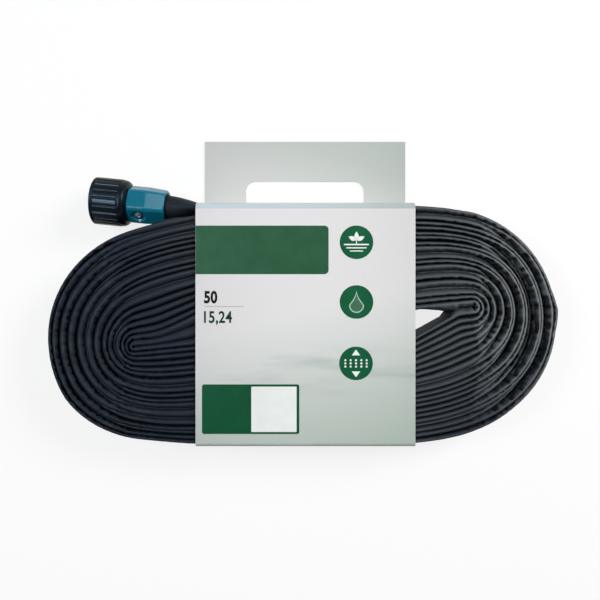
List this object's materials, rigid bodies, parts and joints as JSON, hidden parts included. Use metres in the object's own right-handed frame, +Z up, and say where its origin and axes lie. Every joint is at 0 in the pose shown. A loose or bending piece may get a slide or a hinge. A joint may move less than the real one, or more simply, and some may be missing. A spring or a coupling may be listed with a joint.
{
  "type": "soaker hose",
  "caption": "Flat woven soaker hose wound on edge into an oval roll inside a card sleeve with a hand hole; ribbed swivel inlet nut, clamp collars and a screw-capped outlet.",
  "frame": {"origin": "middle of the card sleeve's back face, on which the roll lies flat", "axes": "+Z up, out of the sleeve's printed front; +X along the roll, away from the inlet; +Y toward the handle"},
  "size_m": [0.3821, 0.2392, 0.0384],
  "materials": {
    "hose": "woven, dull",
    "liner": "smooth, dull",
    "fitting": "moulded, satin",
    "collar": "moulded, half gloss",
    "washer": "dull",
    "disc": "moulded",
    "screw": "bright",
    "card": "printed, satin"
  },
  "bodies": {
    "roll": {"hose_roll": "hose", "inlet_hose_end": "liner", "inlet_stem": "fitting", "inlet_flow_disc": "disc", "inlet_collar": "collar", "inlet_screw": "screw", "outlet_hose_end": "liner", "outlet_stem": "fitting", "outlet_collar": "collar", "outlet_screw": "screw"},
    "nut": {"inlet_nut": "fitting", "inlet_washer": "washer"},
    "cap_carrier": {"cap_washer": "washer"},
    "cap": {"end_cap": "fitting"},
    "sleeve": {"sleeve_band": "card"},
    "handle_flap": {"handle": "card"}
  },
  "joints": [
    {"name": "nut_swivel", "type": "hinge", "parent": "roll", "child": "nut", "pos_m": [-0.108, 0.0916, 0.0192], "axis": [-0.9954, 0.0958, 0], "continuous": true},
    {"name": "cap_travel", "type": "slide", "parent": "roll", "child": "cap_carrier", "axis": [1, 0, 0], "range_m": [0, 0.00663]},
    {"name": "cap_turn", "type": "hinge", "parent": "cap_carrier", "child": "cap", "pos_m": [-0.046, 0.0005, 0.0192], "axis": [1, 0, 0], "range_deg": [0, 1080]},
    {"name": "sleeve_slide", "type": "slide", "parent": "roll", "child": "sleeve", "axis": [1, 0, 0], "range_m": [0, 0.285]},
    {"name": "handle_fold", "type": "hinge", "parent": "sleeve", "child": "handle_flap", "pos_m": [0, 0.0942, 0.0006], "axis": [1, 0, 0], "range_deg": [0, 90]}
  ],
  "couplings": [
    {"joint": "cap_travel", "follows": "cap_turn", "m_per_rad": 0.00035152}
  ]
}
